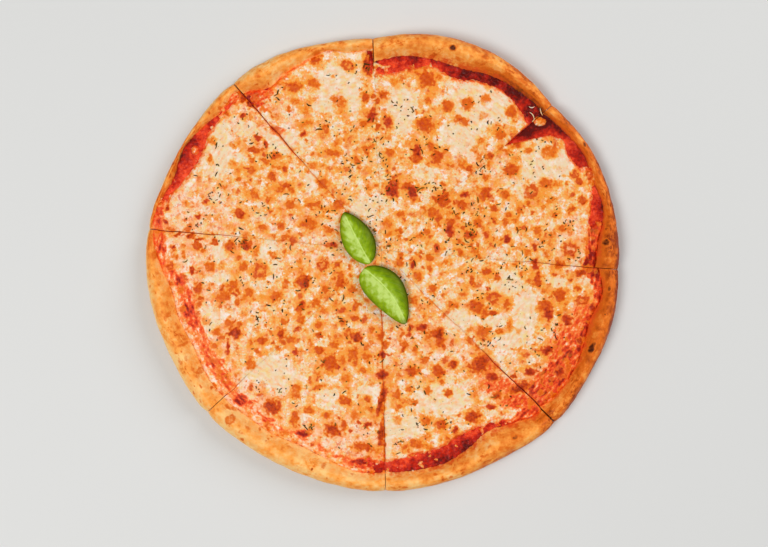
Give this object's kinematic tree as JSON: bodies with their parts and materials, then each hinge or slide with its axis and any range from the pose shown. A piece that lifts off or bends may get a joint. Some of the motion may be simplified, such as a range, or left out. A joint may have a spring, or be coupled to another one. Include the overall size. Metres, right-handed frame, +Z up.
{
  "type": "cheese pizza cut into slices",
  "caption": "Round baked cheese pizza lying flat, cut into wedge slices that keep its whole shape: puffed browned rim, tomato sauce, blistered cheese with dried herbs, and basil leaves.",
  "frame": {"origin": "on the table plane, under the middle of the pizza's outline", "axes": "+Z up from the table; +X to the right and +Y away from the viewer in the picture's view from above"},
  "size_m": [0.3, 0.29, 0.0186],
  "materials": {
    "dough": "baked wheat dough, matt with a faint sheen, golden brown on the rim and pale below",
    "sauce": "cooked tomato sauce, wet and slightly grainy",
    "cheese": "melted cheese, oily satin, with toasted blisters, paler pools and dark dried herb flakes",
    "basil": "fresh leaf, satin, with lighter veins"
  },
  "bodies": {
    "root": {"slice_1_dough": "dough", "slice_1_sauce": "sauce", "slice_1_cheese": "cheese", "slice_2_dough": "dough", "slice_2_sauce": "sauce", "slice_2_cheese": "cheese", "slice_3_dough": "dough", "slice_3_sauce": "sauce", "slice_3_cheese": "cheese", "slice_4_dough": "dough", "slice_4_sauce": "sauce", "slice_4_cheese": "cheese", "slice_5_dough": "dough", "slice_5_sauce": "sauce", "slice_5_cheese": "cheese", "slice_6_dough": "dough", "slice_6_sauce": "sauce", "slice_6_cheese": "cheese", "slice_7_dough": "dough", "slice_7_sauce": "sauce", "slice_7_cheese": "cheese", "slice_8_dough": "dough", "slice_8_sauce": "sauce", "slice_8_cheese": "cheese", "basil_leaf_upper": "basil", "basil_leaf_lower": "basil"}
  },
  "joints": []
}
